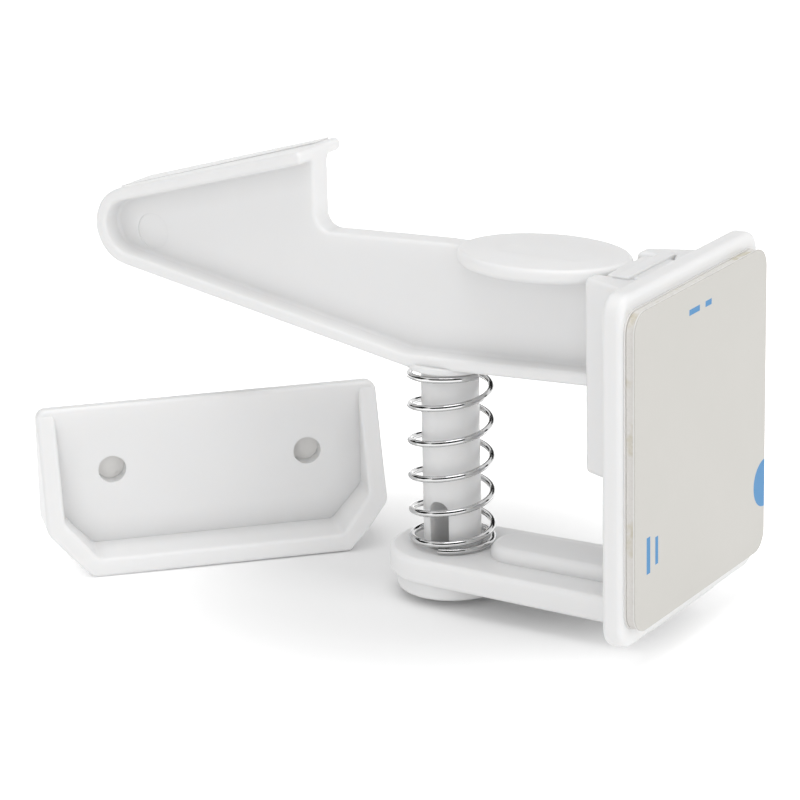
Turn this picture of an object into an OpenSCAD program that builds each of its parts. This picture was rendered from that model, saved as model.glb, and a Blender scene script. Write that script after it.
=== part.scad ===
// Cabinet safety lock: a press-down latch and the strike that it hooks.
// Frame: origin at the middle of the latch's adhesive face, +X out of that face,
// +Y to the left of someone who looks along +X, +Z up. All lengths are millimetres.

/* [Mounting plate] */
// Width of the plate
plate_w = 39.2; // [34:0.1:50]
// Height of the plate
plate_h = 47.6; // [44:0.1:60]
// Distance from the origin down to the plate's bottom edge
plate_drop = 24; // [22:0.1:28]
// Thickness of the plate
plate_t = 3.1; // [2:0.1:5]
// Radius of the plate's four corners
plate_corner_r = 3; // [1:0.1:6]

/* [Adhesive tape] */
// Width of the plate's tape
tape_w = 37.8; // [30:0.1:38]
// Height of the plate's tape
tape_h = 43; // [30:0.1:44]
// Corner radius of both tapes
tape_corner_r = 2.8; // [1:0.1:5]
// Thickness of each adhesive layer
adhesive_t = 0.15; // [0.1:0.05:0.3]
// Thickness of the foam
foam_t = 1.1; // [0.8:0.1:2]
// Thickness of the release liner
liner_t = 0.2; // [0.1:0.05:0.4]

/* [Shelf] */
// Distance from the plate to the post's axis
post_reach = 33.8; // [30:0.1:40]
// Radius of the shelf's round end
shelf_end_r = 8.8; // [8.5:0.1:11]
// Half the shelf's width where it meets the plate
shelf_root_half_w = 9.6; // [8.5:0.1:12]
// Thickness of the shelf
shelf_t = 3.7; // [2:0.1:4.5]
// Distance that the shelf's underside lies below the plate's lower edge
shelf_sink = 0.9; // [0:0.1:1.5]
// Height of the stiffening rib above the shelf
rib_h = 1.9; // [1:0.1:3]
// Width of the stiffening rib
rib_w = 8.5; // [5:0.1:10]
// Distance from the post's axis to the rib's round end
rib_start = 8.3; // [7.5:0.1:14]
// Radius of the guide boss under the shelf
guide_r = 7.8; // [6:0.1:8.5]
// Height of the guide boss
guide_h = 2.4; // [2:0.1:5]

/* [Track] */
// Gap between the two cheeks
track_w = 11.4; // [11:0.1:13]
// Distance that the cheeks stand out from the plate
cheek_reach = 7.9; // [6:0.1:10]
// Wall of a cheek at its front edge
cheek_t = 2.8; // [2.2:0.1:4]
// Extra width of a cheek where it meets the plate
cheek_flare = 5; // [1:0.1:7]
// Height of the cheeks' bottom edge above the origin
cheek_low_z = -4.5; // [-6:0.1:-2]
// Height of the cheeks' top edge above the origin
cheek_top_z = 21.5; // [20:0.1:23]
// Depth of the key grooves in the cheeks
groove_depth = 1.2; // [0.8:0.1:1.6]
// Width of the key grooves
groove_w = 2.6; // [2:0.1:3]
// Distance from the plate to the grooves' near side
groove_inset = 2.5; // [2:0.1:4]
// Clearance of a key in its groove
key_gap = 0.3; // [0.2:0.05:0.5]
// Clearance between the arm's tail and the plate
tail_gap = 0.5; // [0.3:0.1:1]

/* [Latch arm] */
// Width of the arm
arm_w = 10.4; // [9:0.1:10.8]
// Thickness of the web in the middle of the arm
web_t = 3.8; // [2:0.1:5]
// Thickness of the arm's flange
flange_t = 1.8; // [1.2:0.1:2.4]
// Distance from the post's axis to the nose's centre
nose_reach = 49.7; // [44:0.1:56]
// Height of the nose's centre
nose_z = 19; // [17:0.1:21]
// Radius of the nose
nose_r = 5.7; // [4.5:0.1:6.5]
// Slope of the ramp in degrees
ramp_angle = 15.7; // [10:0.1:20]
// Distance from the post's axis to the catch face
catch_reach = 20.1; // [18:0.1:26]
// Distance that the ramp's end stands out over the catch face
lip_over = 0.2; // [0:0.1:3]
// Fillet between the catch face and the bar
catch_fillet_r = 2.2; // [1:0.1:3]
// Height of the bar's top at the catch face
bar_catch_z = 21.4; // [20:0.1:21.8]
// Height of the bar's top at the post and the tail
bar_top_z = 22.1; // [21.8:0.1:22.6]
// Distance from the post's axis to the bend in the lower edge
bend_reach = 4.1; // [2:0.1:8]
// Slope of the lower edge behind the bend in degrees
tail_rise = 2.65; // [0:0.05:5]
// Depth of the spring seat's boss below the arm
seat_h = 0.5; // [0.3:0.1:1.5]
// Radius of the spring seat's boss
seat_r = 6; // [5.8:0.1:7]

/* [Thumb pad] */
// Length of the pad
pad_l = 24.8; // [20:0.1:25]
// Width of the pad
pad_w = 18.4; // [14:0.1:20]
// Height of the pad's rim
pad_h = 2; // [1.8:0.1:3]
// Depth of the pad's underside below the bar's top
pad_sink = 1.7; // [0.4:0.1:1.7]
// Distance from the post's axis to the pad's centre
pad_offset = 15; // [12:0.1:16]

/* [Post and spring] */
// Radius of the post
post_r = 4; // [3.2:0.1:4.4]
// Radial clearance of the post in its hole
post_gap = 0.08; // [0.04:0.01:0.1]
// Width of the slot in the post
slot_w = 2.9; // [1:0.1:3.4]
// Height of the slot's round top above the shelf
slot_rise = 7.2; // [4:0.1:12]
// Turn of the slot from the near side in degrees
slot_turn = 2; // [0:1:45]
// Distance that the barbs stand out from the post
barb_out = 0.9; // [0.5:0.1:1.2]
// Height of the barbs
barb_h = 0.9; // [0.6:0.1:2]
// Width of each barb
barb_w = 5.2; // [3:0.1:6]
// Clearance above the barbs at rest
barb_gap = 0.1; // [0.05:0.05:0.3]
// Length of the spring in the waiting lock
spring_l = 25.8; // [23.8:0.1:27]
// Outer radius of the spring
spring_r = 5.95; // [5.4:0.05:6]
// Diameter of the spring's wire
wire_d = 0.7; // [0.5:0.05:0.8]
// Turns between the two closed coils
active_turns = 4; // [3:1:6]
// Turns in all that the wire makes
all_turns = 6.17; // [6:0.01:6.5]
// Angle at which the wire starts in degrees
wire_start = -80; // [-180:1:180]

/* [Strike] */
// Length of the strike
strike_l = 49.4; // [44:0.1:60]
// Height of the strike
strike_h = 23; // [18:0.1:28]
// Depth of the strike along its bottom
strike_d = 9.8; // [7:0.1:13]
// Wall of the strike
strike_t = 2.2; // [1.5:0.1:3]
// Width of each cut bottom corner
strike_cut_w = 6; // [4:0.1:9]
// Height of each cut bottom corner
strike_cut_h = 6.6; // [4:0.1:9]
// Radius of the screw holes
hole_r = 2; // [1.5:0.1:2.5]
// Distance between the screw holes
hole_spacing = 28.4; // [20:0.1:34]
// Height of the screw holes above the bottom
hole_z = 13.4; // [11:0.1:16]
// Length of the strike's tape
strike_tape_l = 44; // [38:0.1:48]
// Height of the strike's tape
strike_tape_h = 16; // [12:0.1:17]
// Place of the strike along X
strike_x = -79.2; // [-90:0.1:-72]
// Place of the strike along Y
strike_y = -0.6; // [-10:0.1:10]
// Turn of the strike in degrees
strike_turn = 45; // [0:1:60]

/* [Hidden] */
$fn = 64;
// Overrun of the cutting tools
cut = 1;
// Segments of a quarter of an outline's arc
arc_steps = 8;
// Share of a thickness by which a cut corner's wall moves its inner corner
corner_share = 0.414;

// Places along X
tape_t = 2 * adhesive_t + foam_t + liner_t;
plate_front = -(tape_t + plate_t);
post_x = plate_front - post_reach;
nose_x = post_x - nose_reach;
catch_x = post_x - catch_reach;
lip_x = catch_x + lip_over;
bend_x = post_x - bend_reach;
pad_x = post_x + pad_offset;
tail_x = plate_front - tail_gap;
cheek_x = plate_front - cheek_reach;
groove_x = plate_front - groove_inset - groove_w;

// Heights
plate_low_z = -plate_drop;
shelf_low_z = plate_low_z - shelf_sink;
shelf_top_z = shelf_low_z + shelf_t;
guide_low_z = shelf_low_z - guide_h;
post_low_z = guide_low_z - barb_gap - barb_h;
seat_z = shelf_top_z + spring_l;
arm_low_z = seat_z + seat_h;
pad_low_z = bar_top_z - pad_sink;
// Travel that the grooves leave to the arm
travel = 10;

// Widths
arm_half_w = arm_w / 2;
track_half_w = track_w / 2;
key_w = groove_w - 2 * key_gap;
key_h = groove_depth - key_gap;
// Distance that a key stands out from the arm's side
key_reach = track_half_w + key_h - arm_half_w;
slot_top_z = shelf_top_z + slot_rise;
// Length of the post's end below the barbs
lead_h = barb_h / 4;

// Height of the arm's lower edge behind the bend
function low_edge(x) = arm_low_z + (x - post_x) * tan(tail_rise);
// Lowest point of the arm's keys at rest, and the closed lower end of their grooves
key_low_z = low_edge(tail_x) + key_gap;
groove_low_z = key_low_z - travel - barb_gap;
// Height of the ramp's outer edge, inset square to the ramp
function ramp_edge(x, inset) =
  nose_z + (nose_r - inset) / cos(ramp_angle) + (x - nose_x) * tan(ramp_angle);
// Points of an arc in the XZ plane
function arc(cx, cz, r, from, to, steps) =
  [for (i = [0:steps]) let (a = from + (to - from) * i / steps) [cx + r * cos(a), cz + r * sin(a)]];

// Lower line from the bend to the nose: its direction and its outward normal
nose_dx = nose_x - bend_x;
nose_dz = nose_z - low_edge(bend_x);
nose_far = sqrt(nose_dx * nose_dx + nose_dz * nose_dz);
under_angle = atan2(nose_dz, nose_dx) + asin(nose_r / nose_far);
under_normal = under_angle + 90;
// Share of the flange that the inner bend moves along the lower edge
bend_share = tan((180 - under_angle + tail_rise) / 2);

// Rounded rectangle in the YZ plane, standing on X from x0 to x1
module yz_slab(x0, x1, w, z0, z1, r) {
  h = z1 - z0;
  translate([x0, 0, (z0 + z1) / 2])
    rotate([90, 0, 90])
      linear_extrude(height = x1 - x0) {
        square([w - 2 * r, h], center = true);
        square([w, h - 2 * r], center = true);
        for (sy = [-1, 1], sz = [-1, 1])
          translate([sy * (w / 2 - r), sz * (h / 2 - r)]) circle(r);
      }
}

// Outline in the XZ plane, standing on Y from y0 to y1
module xz_slab(points, y0, y1) {
  translate([0, y1, 0])
    rotate([90, 0, 0])
      linear_extrude(height = y1 - y0) polygon(points);
}

module shelf() {
  translate([0, 0, shelf_low_z])
    linear_extrude(height = shelf_t) {
      translate([post_x, 0]) circle(shelf_end_r);
      polygon([
        [post_x, -shelf_end_r], [plate_front, -shelf_root_half_w],
        [plate_front, shelf_root_half_w], [post_x, shelf_end_r]
      ]);
    }
}

module rib() {
  rib_x = post_x + rib_start;
  translate([0, 0, shelf_top_z])
    linear_extrude(height = rib_h) {
      translate([rib_x + rib_w / 2, 0]) circle(rib_w / 2);
      translate([rib_x + rib_w / 2, -rib_w / 2]) square([plate_front - rib_x - rib_w / 2, rib_w]);
    }
}

// One wall of the track on the +Y side
module cheek() {
  outer = track_half_w + cheek_t;
  difference() {
    translate([0, 0, cheek_low_z])
      linear_extrude(height = cheek_top_z - cheek_low_z)
        polygon([
          [cheek_x, track_half_w], [plate_front, track_half_w],
          [plate_front, outer + cheek_flare], [plate_front - cheek_reach / 4, outer + cheek_flare / 2],
          [cheek_x, outer]
        ]);
    translate([groove_x, 0, groove_low_z])
      cube([groove_w, track_half_w + groove_depth, cheek_top_z - groove_low_z + cut]);
  }
}

module base_bracket() {
  color("white")
    difference() {
      union() {
        yz_slab(plate_front, -tape_t, plate_w, plate_low_z, plate_low_z + plate_h, plate_corner_r);
        shelf();
        rib();
        cheek();
        mirror([0, 1, 0]) cheek();
        translate([post_x, 0, guide_low_z]) cylinder(r = guide_r, h = guide_h);
      }
      translate([post_x, 0, guide_low_z - cut])
        cylinder(r = post_r + post_gap, h = guide_h + shelf_t + 2 * cut);
    }
}

// Outer edge of the arm, seen from the near side
arm_outline = concat(
  [[lip_x, ramp_edge(lip_x, 0)]],
  arc(nose_x, nose_z, nose_r, 90 + ramp_angle, under_normal, 2 * arc_steps),
  [
    [bend_x, low_edge(bend_x)], [tail_x, low_edge(tail_x)], [tail_x, bar_top_z],
    [post_x, bar_top_z], [catch_x + catch_fillet_r, bar_catch_z]
  ],
  arc(catch_x + catch_fillet_r, bar_catch_z + catch_fillet_r, catch_fillet_r, 270, 180, arc_steps),
  [[catch_x, ramp_edge(catch_x, flange_t)], [lip_x, ramp_edge(lip_x, flange_t)]]
);

// Open channel on either side of the web, bounded by the flange and open over the bar
pocket_end_x = groove_x - flange_t;
inner_bend_x = bend_x + flange_t * bend_share;
pocket_outline = concat(
  [[lip_x + cut, ramp_edge(lip_x + cut, flange_t)]],
  arc(nose_x, nose_z, nose_r - flange_t, 90 + ramp_angle, under_normal, 2 * arc_steps),
  [
    [inner_bend_x, low_edge(inner_bend_x) + flange_t / cos(tail_rise)],
    [pocket_end_x, low_edge(pocket_end_x) + flange_t / cos(tail_rise)],
    [pocket_end_x, bar_top_z + cut], [lip_x + cut, bar_top_z + cut]
  ]
);

module channel() {
  xz_slab(pocket_outline, web_t / 2, arm_half_w + cut);
}

module thumb_pad() {
  translate([pad_x, 0, pad_low_z])
    linear_extrude(height = pad_h)
      polygon([for (a = [0:6:354]) [pad_l / 2 * cos(a), pad_w / 2 * sin(a)]]);
}

// Two keys that run in the cheeks' grooves
module keys() {
  for (side = [-1, 1])
    translate([groove_x + key_gap, side < 0 ? -arm_half_w - key_reach : 0, key_low_z])
      cube([key_w, arm_half_w + key_reach, bar_top_z - key_low_z]);
}

module post() {
  translate([post_x, 0, 0])
    difference() {
      union() {
        translate([0, 0, post_low_z]) cylinder(r = post_r, h = arm_low_z + flange_t / 2 - post_low_z);
        translate([0, 0, seat_z]) cylinder(r = seat_r, h = seat_h + flange_t / 2);
        // The barbs sit just above the post's end, so that the end leads into the hole
        intersection() {
          translate([0, 0, post_low_z + lead_h]) cylinder(r = post_r + barb_out, h = barb_h - lead_h);
          rotate([0, 0, slot_turn])
            translate([-post_r - cut, -barb_w / 2, post_low_z + lead_h])
              cube([2 * (post_r + cut), barb_w, barb_h - lead_h]);
        }
      }
      rotate([0, 0, slot_turn])
        translate([0, post_r + cut, 0])
          rotate([90, 0, 0])
            linear_extrude(height = 2 * (post_r + cut)) {
              translate([0, slot_top_z - slot_w / 2]) circle(slot_w / 2);
              translate([-slot_w / 2, post_low_z - cut])
                square([slot_w, slot_top_z - slot_w / 2 - post_low_z + cut]);
            }
    }
}

module latch_arm() {
  color("white")
    union() {
      difference() {
        xz_slab(arm_outline, -arm_half_w, arm_half_w);
        channel();
        mirror([0, 1, 0]) channel();
      }
      thumb_pad();
      keys();
      post();
    }
}

// Spring: one wire, closed at both ends, with its tips square to the seats
wire_r = wire_d / 2;
coil_r = spring_r - wire_r;
// Rings in a turn of the wire and sides of a ring
rings = 8;
sides = 6;
// Gap between two closed coils, and the rise of the bend behind a tip
closed_gap = 0.525;
closed_pitch = wire_d + closed_gap;
tip_bend_z = wire_d;
// Share of that rise at the station in the middle of the bend
mid_bend_share = 0.6;
end_turns = (all_turns - active_turns) / 2;
bend_turn = 0.02;
coil_low_z = shelf_top_z + wire_d + tip_bend_z;
coil_h = spring_l - 2 * (wire_d + tip_bend_z);
open_rise = coil_h - 2 * end_turns * closed_pitch;
// Height of the wire above its first coil after t turns
function wire_z(t) =
  t < end_turns ? closed_pitch * t
  : t > end_turns + active_turns ? coil_h - closed_pitch * (all_turns - t)
  : closed_pitch * end_turns + open_rise * (t - end_turns) / active_turns;
// Each station holds its turn, its height and its slope in degrees
coil_stations = [
  for (i = [0:floor(all_turns * rings)])
    [i / rings + bend_turn, coil_low_z + wire_z(i / rings), 6]
];
last_turn = bend_turn + all_turns;
wire_stations = concat(
  [
    [0, shelf_top_z, 90], [0, shelf_top_z + wire_d, 90],
    [bend_turn / 3, shelf_top_z + wire_d + mid_bend_share * tip_bend_z, 48]
  ],
  coil_stations,
  [
    [last_turn, seat_z - wire_d - tip_bend_z, 6],
    [last_turn + bend_turn * 2 / 3, seat_z - wire_d - mid_bend_share * tip_bend_z, 48],
    [last_turn + bend_turn, seat_z - wire_d, 90], [last_turn + bend_turn, seat_z, 90]
  ]
);
// Middle of the wire at a station
function wire_mid(s) =
  let (a = wire_start + 360 * s[0])
  [post_x + coil_r * cos(a), coil_r * sin(a), s[1]];
// Ring of points round the wire at a station
function wire_ring(s) =
  let (a = wire_start + 360 * s[0], mid = wire_mid(s))
  [
    for (k = [0:sides - 1])
      let (u = wire_r * cos(360 * k / sides), v = wire_r * sin(360 * k / sides))
      [
        mid[0] + u * cos(a) - v * sin(s[2]) * sin(a),
        mid[1] + u * sin(a) + v * sin(s[2]) * cos(a),
        mid[2] - v * cos(s[2])
      ]
  ];

// One unbroken tube through rings that all have the same number of points
module tube(ring_points, count, around) {
  side_faces = [
    for (i = [0:count - 2], k = [0:around - 1])
      let (a = i * around + k, b = i * around + (k + 1) % around)
      each [[a, b, b + around], [a, b + around, a + around]]
  ];
  first_cap = [for (k = [1:around - 2]) [0, k + 1, k]];
  last = (count - 1) * around;
  last_cap = [for (k = [1:around - 2]) [last, last + k, last + k + 1]];
  polyhedron(points = ring_points, faces = concat(side_faces, first_cap, last_cap));
}

module return_spring() {
  color("silver")
    tube([for (s = wire_stations) each wire_ring(s)], len(wire_stations), sides);
}

// Least distance between the wire's surface at two stations at least half a turn apart
wire_gaps = [
  for (i = [0:len(wire_stations) - 1], j = [i + 1:len(wire_stations) - 1])
    if (wire_stations[j][0] - wire_stations[i][0] > 0.5)
      norm(wire_mid(wire_stations[i]) - wire_mid(wire_stations[j])) - wire_d
];
echo(least_wire_gap = min(wire_gaps));

// One layer of the plate's tape from x0 to x1
module plate_layer(x0, x1) {
  yz_slab(x0, x1, tape_w, -tape_h / 2, tape_h / 2, tape_corner_r);
}
module plate_inner_adhesive() {
  color("lightyellow") plate_layer(-tape_t, -tape_t + adhesive_t);
}
module plate_foam_pad() {
  color("tan") plate_layer(-tape_t + adhesive_t, -tape_t + adhesive_t + foam_t);
}
module plate_outer_adhesive() {
  color("lightyellow") plate_layer(-liner_t - adhesive_t, -liner_t);
}
module plate_release_liner() {
  color("gainsboro") plate_layer(-liner_t, 0);
}

// Strike in its own frame: length on X, back face at Y = 0, open tray to -Y, bottom at Z = 0
strike_half = strike_l / 2;
module strike_body() {
  g = strike_t * corner_share;
  difference() {
    xz_slab([
      [-strike_half, strike_h], [-strike_half, strike_cut_h], [-strike_half + strike_cut_w, 0],
      [strike_half - strike_cut_w, 0], [strike_half, strike_cut_h], [strike_half, strike_h]
    ], -strike_d, 0);
    xz_slab([
      [-strike_half + strike_t, strike_h + cut], [-strike_half + strike_t, strike_cut_h + g],
      [-strike_half + strike_cut_w + g, strike_t], [strike_half - strike_cut_w - g, strike_t],
      [strike_half - strike_t, strike_cut_h + g], [strike_half - strike_t, strike_h + cut]
    ], -strike_d - cut, -strike_t);
    translate([-strike_half - cut, 0, 0])
      rotate([90, 0, 90])
        linear_extrude(height = strike_l + 2 * cut)
          polygon([
            [-strike_d, strike_t], [-strike_t, strike_h], [-strike_t, strike_h + cut],
            [-strike_d - cut, strike_h + cut], [-strike_d - cut, strike_t]
          ]);
    for (side = [-1, 1])
      translate([side * hole_spacing / 2, cut, hole_z])
        rotate([90, 0, 0]) cylinder(r = hole_r, h = strike_t + 2 * cut);
  }
}

// Places a shape of the strike's own frame beside the latch, on the same floor
module strike_place() {
  translate([strike_x, strike_y, post_low_z]) rotate([0, 0, strike_turn]) children();
}

// One layer of the strike's tape from y0 to y1
module strike_layer(y0, y1) {
  strike_place()
    translate([0, y1, (strike_h - strike_tape_h) / 2])
      rotate([90, 0, 0])
        translate([-strike_tape_l / 2, 0, 0])
          linear_extrude(height = y1 - y0) {
            translate([tape_corner_r, 0]) square([strike_tape_l - 2 * tape_corner_r, strike_tape_h]);
            translate([0, tape_corner_r]) square([strike_tape_l, strike_tape_h - 2 * tape_corner_r]);
            for (cx = [tape_corner_r, strike_tape_l - tape_corner_r])
              for (cz = [tape_corner_r, strike_tape_h - tape_corner_r])
                translate([cx, cz]) circle(tape_corner_r);
          }
}
module strike_plate() {
  color("white") strike_place() strike_body();
}
module strike_inner_adhesive() {
  color("lightyellow") strike_layer(0, adhesive_t);
}
module strike_foam_pad() {
  color("tan") strike_layer(adhesive_t, adhesive_t + foam_t);
}
module strike_outer_adhesive() {
  color("lightyellow") strike_layer(adhesive_t + foam_t, 2 * adhesive_t + foam_t);
}
module strike_release_liner() {
  color("gainsboro") strike_layer(2 * adhesive_t + foam_t, tape_t);
}

base_bracket();
latch_arm();
return_spring();
plate_inner_adhesive();
plate_foam_pad();
plate_outer_adhesive();
plate_release_liner();
strike_plate();
strike_inner_adhesive();
strike_foam_pad();
strike_outer_adhesive();
strike_release_liner();
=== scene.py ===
"""Cabinet safety lock: the press-down latch and the strike beside it, dressed for the studio.

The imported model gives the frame. Sizes are in millimetres and are turned into metres where a
mesh is made. The origin is the middle of the latch's adhesive face, +X out of that face, +Z up.
"""

import logging
import math
from dataclasses import dataclass, field
from enum import Enum
from typing import Any, Callable, Iterable

import bmesh
import bpy
from mathutils import Matrix, Vector


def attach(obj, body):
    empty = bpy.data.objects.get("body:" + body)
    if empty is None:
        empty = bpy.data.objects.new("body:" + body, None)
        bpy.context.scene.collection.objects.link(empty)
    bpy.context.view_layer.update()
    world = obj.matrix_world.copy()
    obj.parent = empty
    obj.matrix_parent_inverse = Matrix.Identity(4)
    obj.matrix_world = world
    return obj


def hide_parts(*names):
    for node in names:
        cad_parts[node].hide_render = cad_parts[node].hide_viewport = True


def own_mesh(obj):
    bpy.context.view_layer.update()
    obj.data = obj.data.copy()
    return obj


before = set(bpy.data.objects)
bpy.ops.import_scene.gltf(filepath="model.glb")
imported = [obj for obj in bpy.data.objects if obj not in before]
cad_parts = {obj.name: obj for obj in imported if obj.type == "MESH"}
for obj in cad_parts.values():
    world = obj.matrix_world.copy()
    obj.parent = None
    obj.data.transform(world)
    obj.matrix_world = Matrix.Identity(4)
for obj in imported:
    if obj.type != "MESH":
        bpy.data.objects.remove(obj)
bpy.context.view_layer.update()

LOG = logging.getLogger("cabinet_lock")
MM = 0.001
# Millimetres that a tool cuts past a face, or that a welded piece is sunk into its neighbour
OVERRUN = 1
# Millimetres of slack in a test of where an edge or a face lies
SLACK = 0.01
Point2 = tuple[float, float]
Colour = tuple[float, float, float, float]


class Plane(Enum):
    """The plane that an outline is drawn in, and the axis that it is extruded along."""

    XY = "xy"
    XZ = "xz"
    YZ = "yz"

    def point(self, a: float, b: float, c: float) -> Vector:
        """Place of an outline's point (a, b) at the height c along the extrusion.

        Args:
            a: First coordinate in the plane, in millimetres.
            b: Second coordinate in the plane, in millimetres.
            c: Coordinate along the extrusion, in millimetres.

        Returns:
            The point in metres.
        """
        places = {Plane.XY: (a, b, c), Plane.XZ: (a, c, b), Plane.YZ: (c, a, b)}
        return Vector(places[self]) * MM


def arc(centre: Point2, radius: float, start: float, end: float, steps: int) -> list[Point2]:
    """Points of an arc.

    Args:
        centre: Middle of the arc.
        radius: Radius of the arc.
        start: Angle of the first point in degrees.
        end: Angle of the last point in degrees.
        steps: Number of segments.

    Returns:
        The points, both ends among them.
    """
    angles = [math.radians(start + (end - start) * i / steps) for i in range(steps + 1)]
    return [(centre[0] + radius * math.cos(a), centre[1] + radius * math.sin(a)) for a in angles]


def deselect_all() -> None:
    """Leaves edit mode and deselects every object."""
    if bpy.context.object and bpy.context.object.mode != "OBJECT":
        bpy.ops.object.mode_set(mode="OBJECT")
    bpy.ops.object.select_all(action="DESELECT")


class Workpiece:
    """One solid on the bench, shaped with edit-mode tools and modifiers."""

    def __init__(self, obj: bpy.types.Object, name: str) -> None:
        """Takes the primitive that was just added and bakes its place into its mesh.

        Args:
            obj: The primitive.
            name: Name for it and its mesh.
        """
        self.obj = obj
        obj.name = name
        obj.data.name = name
        bpy.ops.object.transform_apply(location=True, rotation=True, scale=True)

    @classmethod
    def block(cls, name: str, low: Iterable[float], high: Iterable[float]) -> "Workpiece":
        """A box between two corners.

        Args:
            name: Name of the piece.
            low: Its lower corner in millimetres.
            high: Its upper corner in millimetres.

        Returns:
            The new workpiece.
        """
        deselect_all()
        a, b = Vector(low) * MM, Vector(high) * MM
        bpy.ops.mesh.primitive_cube_add(size=1, location=(a + b) / 2, scale=b - a)
        return cls(bpy.context.object, name)

    @classmethod
    def rod(cls, name: str, centre: Iterable[float], radius: float, low: float, high: float,
            sides: int = 96) -> "Workpiece":
        """An upright cylinder.

        Args:
            name: Name of the piece.
            centre: X and Y of its axis in millimetres.
            radius: Radius in millimetres.
            low: Height of its lower end.
            high: Height of its upper end.
            sides: Number of sides.

        Returns:
            The new workpiece.
        """
        deselect_all()
        x, y = centre
        bpy.ops.mesh.primitive_cylinder_add(
            vertices=sides, radius=radius * MM, depth=(high - low) * MM,
            location=Vector((x, y, (low + high) / 2)) * MM)
        return cls(bpy.context.object, name)

    @classmethod
    def prism(cls, name: str, outline: list[Point2], plane: Plane, low: float,
              high: float) -> "Workpiece":
        """An outline, laid out on a filled circle's points and extruded.

        Args:
            name: Name of the piece.
            outline: Closed outline in millimetres, without its first point again.
            plane: Plane of the outline.
            low: Where the extrusion starts, in millimetres.
            high: Where it ends.

        Returns:
            The new workpiece.
        """
        deselect_all()
        bpy.ops.mesh.primitive_circle_add(vertices=len(outline), radius=1, fill_type="NGON")
        piece = cls(bpy.context.object, name)
        for vertex, (a, b) in zip(piece.obj.data.vertices, outline):
            vertex.co = plane.point(a, b, low)
        bpy.ops.object.mode_set(mode="EDIT")
        bpy.ops.mesh.select_all(action="SELECT")
        reach = plane.point(0, 0, high - low)
        bpy.ops.mesh.extrude_region_move(TRANSFORM_OT_translate={"value": reach})
        bpy.ops.mesh.select_all(action="SELECT")
        bpy.ops.mesh.normals_make_consistent(inside=False)
        bpy.ops.object.mode_set(mode="OBJECT")
        return piece

    def activate(self) -> bpy.types.Object:
        """Makes this the only selected object."""
        deselect_all()
        self.obj.select_set(True)
        bpy.context.view_layer.objects.active = self.obj
        return self.obj

    def pick_edges(self, test: Callable[[Vector, Vector], bool]) -> int:
        """Enters edit mode and selects edges by their place.

        Args:
            test: Says from an edge's two ends, in millimetres, whether it is wanted.

        Returns:
            The number of edges selected.
        """
        self.activate()
        bpy.ops.object.mode_set(mode="EDIT")
        bpy.ops.mesh.select_mode(type="EDGE")
        bpy.ops.mesh.select_all(action="DESELECT")
        mesh = bmesh.from_edit_mesh(self.obj.data)
        picked = 0
        for edge in mesh.edges:
            a, b = (v.co / MM for v in edge.verts)
            if test(a, b):
                edge.select = True
                picked += 1
        mesh.select_flush_mode()
        bmesh.update_edit_mesh(self.obj.data)
        return picked

    def pick_faces(self, test: Callable[[Vector, Vector], bool]) -> int:
        """Enters edit mode and selects faces by their place and direction.

        Args:
            test: Says from a face's centre, in millimetres, and its normal whether it is wanted.

        Returns:
            The number of faces selected.
        """
        self.activate()
        bpy.ops.object.mode_set(mode="EDIT")
        bpy.ops.mesh.select_mode(type="FACE")
        bpy.ops.mesh.select_all(action="DESELECT")
        mesh = bmesh.from_edit_mesh(self.obj.data)
        picked = 0
        for face in mesh.faces:
            if test(face.calc_center_median() / MM, face.normal):
                face.select = True
                picked += 1
        mesh.select_flush_mode()
        bmesh.update_edit_mesh(self.obj.data)
        return picked

    def round_edges(self, radius: float, test: Callable[[Vector, Vector], bool],
                    steps: int = 4) -> "Workpiece":
        """Bevels edges with a round profile.

        Args:
            radius: Width of the bevel in millimetres.
            test: Says from an edge's two ends, in millimetres, whether it is rounded.
            steps: Number of segments.

        Returns:
            This workpiece.
        """
        if self.pick_edges(test):
            bpy.ops.mesh.bevel(offset=radius * MM, segments=steps, profile=0.5,
                               affect="EDGES", clamp_overlap=False)
        bpy.ops.object.mode_set(mode="OBJECT")
        return self

    def apply(self, kind: str, **settings: Any) -> "Workpiece":
        """Adds a modifier, sets it and applies it.

        Args:
            kind: Blender's name of the modifier type.
            **settings: The modifier's own settings.

        Returns:
            This workpiece.
        """
        obj = self.activate()
        modifier = obj.modifiers.new(kind.title(), kind)
        for key, value in settings.items():
            setattr(modifier, key, value)
        bpy.ops.object.modifier_apply(modifier=modifier.name)
        return self

    def soften(self, radius: float, steps: int = 4, angle: float = 35) -> "Workpiece":
        """Rounds every edge that turns by more than an angle.

        Args:
            radius: Width of the bevel in millimetres.
            steps: Number of segments.
            angle: The angle in degrees.

        Returns:
            This workpiece.
        """
        return self.apply("BEVEL", width=radius * MM, segments=steps, limit_method="ANGLE",
                          angle_limit=math.radians(angle), use_clamp_overlap=False,
                          miter_outer="MITER_ARC")

    def weld(self, *others: "Workpiece") -> "Workpiece":
        """Joins other solids to this one as one skin."""
        return self._combine("UNION", others)

    def carve(self, *others: "Workpiece") -> "Workpiece":
        """Takes other solids away from this one."""
        return self._combine("DIFFERENCE", others)

    def meet(self, *others: "Workpiece") -> "Workpiece":
        """Keeps only what this solid shares with each of the others."""
        return self._combine("INTERSECT", others)

    def _combine(self, operation: str, others: Iterable["Workpiece"]) -> "Workpiece":
        """Runs an exact boolean with each of the others and throws the tool away.

        Args:
            operation: Blender's name of the boolean.
            others: The tools.

        Returns:
            This workpiece.
        """
        for other in others:
            self.apply("BOOLEAN", operation=operation, solver="EXACT", object=other.obj)
            bpy.data.objects.remove(other.obj)
        return self

    def place(self, matrix: Matrix) -> "Workpiece":
        """Moves the mesh, not the object, by a matrix in metres."""
        self.obj.data.transform(matrix)
        return self

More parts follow.
